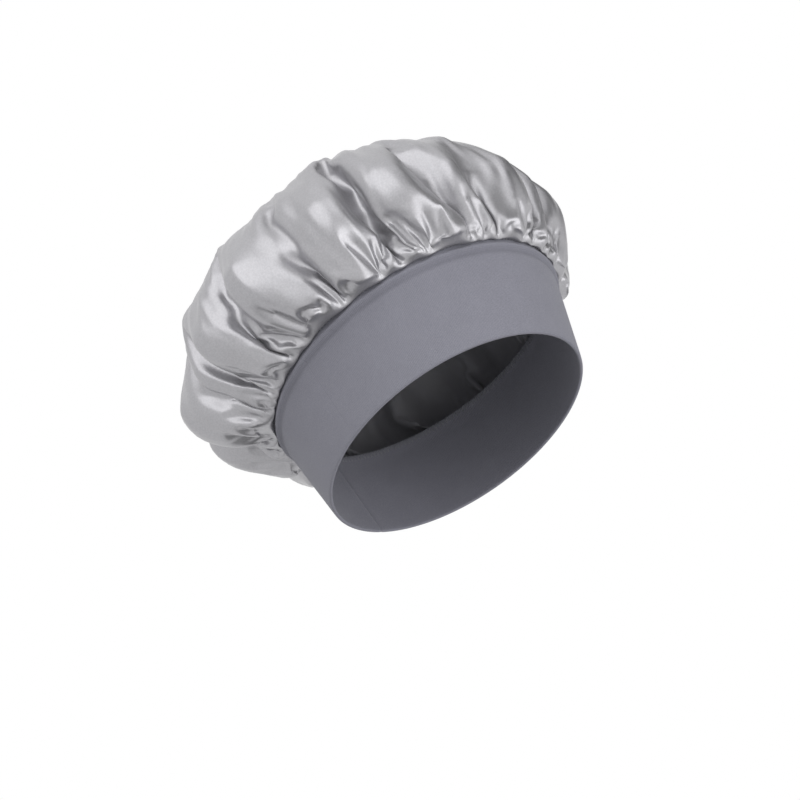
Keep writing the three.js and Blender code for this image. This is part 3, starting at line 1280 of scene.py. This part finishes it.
@dataclass
class Sewing:
    """The overlocked seam's threads, one gathering row, two needle rows and two loopers."""

    wall: BandWall
    thread_radius: float = 0.15 * MM
    thread_roundness: int = 1
    curve_steps: int = 2
    curve_order: int = 3
    stitch: float = 2.6 * MM
    gather_stitch: float = 6.0 * MM
    out_face: float = 3.65 * MM
    in_face: float = -0.2 * MM
    core: float = 1.7 * MM
    left_row: float = 64.4 * MM
    gather_row: float = 65.4 * MM
    right_row: float = 66.4 * MM
    edge: float = 69.4 * MM
    over_edge: float = 70.0 * MM
    dip_shares: tuple[float, float] = (0.0, 0.9)
    lie_shares: tuple[float, float] = (0.08, 0.82)
    arch_share: float = 0.45
    arch: float = 0.1 * MM
    loop_shares: tuple[float, ...] = (0.0, 0.1, 0.3, 0.42)
    loop_rise: float = 1.6 * MM
    loop_turn: float = 1.2 * MM
    loop_lift: float = 0.2 * MM

    def strand(self, name: str, stitch: float, shape: Iterable[StitchPoint]) -> bpy.types.Object:
        """Sew one thread all round the seam.

        Args:
            name: The thread's name.
            stitch: About how long a stitch is.
            shape: One stitch's points, as share of its length, distance out and height.

        Returns:
            The thread as a mesh.
        """
        points = list(shape)
        count = round(self.wall.seam_length() / stitch)
        curve = bpy.data.curves.new(name, "CURVE")
        curve.dimensions = "3D"
        curve.bevel_depth = self.thread_radius
        curve.bevel_resolution = self.thread_roundness
        curve.resolution_u = self.curve_steps
        spline = curve.splines.new("NURBS")
        spline.points.add(count * len(points) - 1)
        spline.use_cyclic_u = True
        spline.order_u = self.curve_order
        for k, point in enumerate(spline.points):
            share, out, z = points[k % len(points)]
            turn = FULL_TURN * (k // len(points) + share) / count
            point.co = (*self.wall.point(turn, out, z), 1.0)
        thread = bpy.data.objects.new(name, curve)
        bpy.context.scene.collection.objects.link(thread)
        select_only(thread)
        bpy.ops.object.convert(target="MESH")
        bpy.ops.object.shade_smooth()
        return thread

    def running(self, name: str, stitch: float, row: float) -> bpy.types.Object:
        """Sew a straight row that lies on the outside and dips through the cloth.

        Args:
            name: The thread's name.
            stitch: About how long a stitch is.
            row: The row's height.

        Returns:
            The thread as a mesh.
        """
        dips = [(share, self.core, row) for share in self.dip_shares]
        lies = [(share, self.out_face, row) for share in self.lie_shares]
        top = (self.arch_share, self.out_face + self.arch, row)
        return self.strand(name, stitch, sorted([*dips, *lies, top]))

    def looper(self, name: str, face: float) -> bpy.types.Object:
        """Sew the loops that cross one face of the seam and wrap the cut edge.

        Args:
            name: The thread's name.
            face: The face's distance out.

        Returns:
            The thread as a mesh.
        """
        heights = (self.left_row, self.left_row + self.loop_rise, self.edge - self.loop_turn, self.edge)
        climb = [(share, face, z) for share, z in zip(self.loop_shares, heights)]
        fall = [(1 - share, face, z) for share, face, z in reversed(climb[1:])]
        return self.strand(name, self.stitch, [*climb, (0.5, self.core, self.over_edge), *fall])

    def build(self) -> dict[CadNode, bpy.types.Object]:
        """Sew every row.

        Returns:
            The threads by the solids that they stand for.
        """
        return {
            CadNode.GATHERING: self.running("gathering_stitches", self.gather_stitch, self.gather_row),
            CadNode.NEEDLE_LEFT: self.running("left_needle_stitches", self.stitch, self.left_row),
            CadNode.NEEDLE_RIGHT: self.running("right_needle_stitches", self.stitch, self.right_row),
            CadNode.LOOPER_UPPER: self.looper("upper_looper_stitches", self.out_face + self.loop_lift),
            CadNode.LOOPER_LOWER: self.looper("lower_looper_stitches", self.in_face),
        }

    def dress(self, threads: dict[CadNode, bpy.types.Object], finish: bpy.types.Material) -> None:
        """Give each thread its finish.

        Args:
            threads: The threads by the solids that they stand for.
            finish: The thread's material.
        """
        for node, thread in threads.items():
            thread.data.materials.append(finish)
            join_cap(thread, node)

    def dress_back_joint(self, finish: bpy.types.Material) -> None:
        """Give the two threads inside the band's back joint the same finish, on their own solids.

        Args:
            finish: The thread's material.
        """
        for node in (CadNode.BACK_NEEDLE, CadNode.BACK_BOBBIN):
            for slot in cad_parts[node.value].material_slots:
                slot.material = finish


# The studio


@dataclass(frozen=True)
class Viewpoint:
    """Where the photograph was taken from, relative to the cap."""

    azimuth: float = math.radians(-46.4)
    elevation: float = math.radians(-30.2)
    roll: float = math.radians(-27.2)
    distance: float = 1.8
    focal_pixels: float = 2914.0
    origin_right: float = 56.8
    origin_down: float = 35.9

    def axes(self) -> Matrix:
        """Work out the camera's directions.

        Returns:
            A matrix with the directions right, up and back as its columns.
        """
        flat = math.cos(self.elevation)
        c, s = math.cos(self.azimuth), math.sin(self.azimuth)
        back = Vector((s * flat, -c * flat, math.sin(self.elevation)))
        level = Vector((c, s, 0.0))
        upright = back.cross(level)
        right = level * math.cos(self.roll) + upright * math.sin(self.roll)
        return Matrix((right, back.cross(right), back)).transposed()

    def place(self, right: float, up: float, back: float) -> Vector:
        """Give a point from its distances right of the cap, above it and towards the camera."""
        return self.axes() @ Vector((right, up, back))


@dataclass(frozen=True)
class DarkCard:
    """A square dark card that faces the cap out of view and shows in the satin's gloss alone."""

    name: str
    right: float
    up: float
    back: float
    size: float


@dataclass(frozen=True)
class SoftLamp:
    """A round soft light that faces the cap, placed as the photograph sees it."""

    name: str
    right: float
    up: float
    back: float
    size: float
    power: float


@dataclass(frozen=True)
class CardFinish:
    """Dark grey card that fades out towards its edges, so that no straight edge shows in the gloss."""

    darker: Colour = (0.05, 0.05, 0.05, 1)
    dark: Colour = (0.08, 0.08, 0.08, 1)
    cloud_scale: float = 5.0
    roughness: float = 0.9
    fade_from: float = 0.35
    fade_to: float = 1.0

    def material(self, dresser: Dresser) -> bpy.types.Material:
        """Build the card's material.

        Args:
            dresser: The shared node group's holder.

        Returns:
            The material.
        """
        material, board, shader = dresser.start("dark_card")
        place = board.add("TexCoord").outputs["Object"]
        cloud = board.noise(place, self.cloud_scale)
        board.feed(shader.inputs["Base Color"], board.blend(cloud, self.darker, self.dark))
        shader.inputs["Roughness"].default_value = self.roughness
        clear = board.reach(place, self.fade_from, self.fade_to)
        board.feed(shader.inputs["Alpha"], board.math("SUBTRACT", 1.0, clear))
        return material


@dataclass
class Studio:
    """The camera, the soft lights, the white surroundings and the pale floor."""

    view: Viewpoint = field(default_factory=Viewpoint)
    lamps: tuple[SoftLamp, ...] = (
        SoftLamp("key_light", -1.2, 1.35, 0.95, 3.2, 27.0),
        SoftLamp("fill_light", 1.6, 0.1, 1.5, 2.5, 25.0),
    )
    cards: tuple[DarkCard, ...] = (
        DarkCard("right_card", 0.9, 1.3, 0.3, 1.8),
        DarkCard("low_card", 0.2, -1.3, 0.4, 2.0),
        DarkCard("far_card", 0.7, 1.0, -0.9, 2.6),
    )
    aim_height: float = 90 * MM
    world_light: float = 0.43
    floor_radius: float = 1.5
    floor_sides: int = 96
    floor_drop: float = 0.2 * MM

    def build_camera(self) -> None:
        """Set the camera at the photograph's viewpoint, moved sideways to frame it the same."""
        view = self.view
        camera = bpy.data.cameras.new("camera")
        camera.sensor_width = SENSOR_WIDTH
        camera.lens = view.focal_pixels / IMAGE_PIXELS * SENSOR_WIDTH
        per_pixel = view.distance / view.focal_pixels
        holder = bpy.data.objects.new("camera", camera)
        bpy.context.scene.collection.objects.link(holder)
        place = view.place(-view.origin_right * per_pixel, view.origin_down * per_pixel, view.distance)
        holder.matrix_world = Matrix.Translation(place) @ view.axes().to_4x4()
        bpy.context.scene.camera = holder

    def build_lights(self) -> None:
        """Hang the soft lamps."""
        aim = Vector((0.0, 0.0, self.aim_height))
        for lamp in self.lamps:
            light = bpy.data.lights.new(lamp.name, "AREA")
            light.energy = lamp.power
            light.shape = "DISK"
            light.size = lamp.size
            holder = bpy.data.objects.new(lamp.name, light)
            bpy.context.scene.collection.objects.link(holder)
            holder.location = self.view.place(lamp.right, lamp.up, lamp.back)
            holder.rotation_euler = (holder.location - aim).to_track_quat("Z", "Y").to_euler()

    def build_cards(self, finish: bpy.types.Material) -> None:
        """Stand the dark cards round the cap.

        Args:
            finish: The cards' material.
        """
        aim = Vector((0.0, 0.0, self.aim_height))
        for card in self.cards:
            bpy.ops.object.select_all(action="DESELECT")
            place = self.view.place(card.right, card.up, card.back)
            turn = (aim - place).to_track_quat("Z", "Y").to_euler()
            bpy.ops.mesh.primitive_plane_add(size=card.size, location=place, rotation=turn)
            sheet = bpy.context.object
            sheet.name = card.name
            sheet.data.materials.append(finish)
            sheet.visible_camera = False
            sheet.visible_diffuse = False
            sheet.visible_shadow = False

    def build_world(self) -> None:
        """Surround the cap with white that lights it softly."""
        world = bpy.data.worlds.new("white_studio")
        world.use_nodes = True
        board = NodeBoard(world.node_tree)
        sky = world.node_tree.nodes["Background"]
        sky.inputs["Color"].default_value = WHITE
        path = board.add("LightPath")
        seen = board.math("MAXIMUM", path.outputs["Is Camera Ray"], path.outputs["Is Transmission Ray"])
        seen = board.math("MAXIMUM", seen, path.outputs["Is Glossy Ray"])
        board.feed(sky.inputs["Strength"], board.spread(seen, self.world_light, 1.0))
        bpy.context.scene.world = world

    def build_floor(self, finish: bpy.types.Material) -> None:
        """Lay the floor under the hem.

        Args:
            finish: The floor's material.
        """
        bpy.ops.object.select_all(action="DESELECT")
        sides, radius = self.floor_sides, self.floor_radius
        bpy.ops.mesh.primitive_circle_add(vertices=sides, radius=radius, fill_type="NGON")
        floor = bpy.context.object
        floor.name = "studio_floor"
        floor.data.transform(Matrix.Translation((0.0, 0.0, -self.floor_drop)))
        floor.data.materials.append(finish)
        floor.visible_diffuse = False
        floor.visible_glossy = False
        floor.visible_shadow = False


def main() -> None:
    """Build the cap and its studio."""
    logging.basicConfig(level=logging.INFO, format="%(name)s: %(message)s")
    bpy.context.scene.view_settings.view_transform = "Standard"
    dresser = Dresser()
    wall = BandWall()
    studio = Studio()
    studio.build_camera()
    studio.build_lights()
    studio.build_world()
    studio.build_cards(CardFinish().material(dresser))
    studio.build_floor(FloorFinish().material(dresser))
    log.info("studio ready")

    knit_band = KnitBand(wall)
    band = knit_band.build()
    knit_band.dress(band, JerseyFinish().material(dresser, knit_band.groove_shade_mark))
    log.info("%s: %d faces", band.name, len(band.data.polygons))

    satin_crown = SatinCrown(wall)
    crown = satin_crown.build()
    satin_crown.dress(crown, SatinFinish().material(dresser, satin_crown.flat_map), band)
    log.info("%s: %d faces", crown.name, len(crown.data.polygons))

    sewing = Sewing(wall)
    thread_finish = ThreadFinish().material(dresser)
    threads = sewing.build()
    sewing.dress(threads, thread_finish)
    sewing.dress_back_joint(thread_finish)
    for thread in threads.values():
        log.info("%s: %d faces", thread.name, len(thread.data.polygons))


if __name__ == "__main__":
    main()
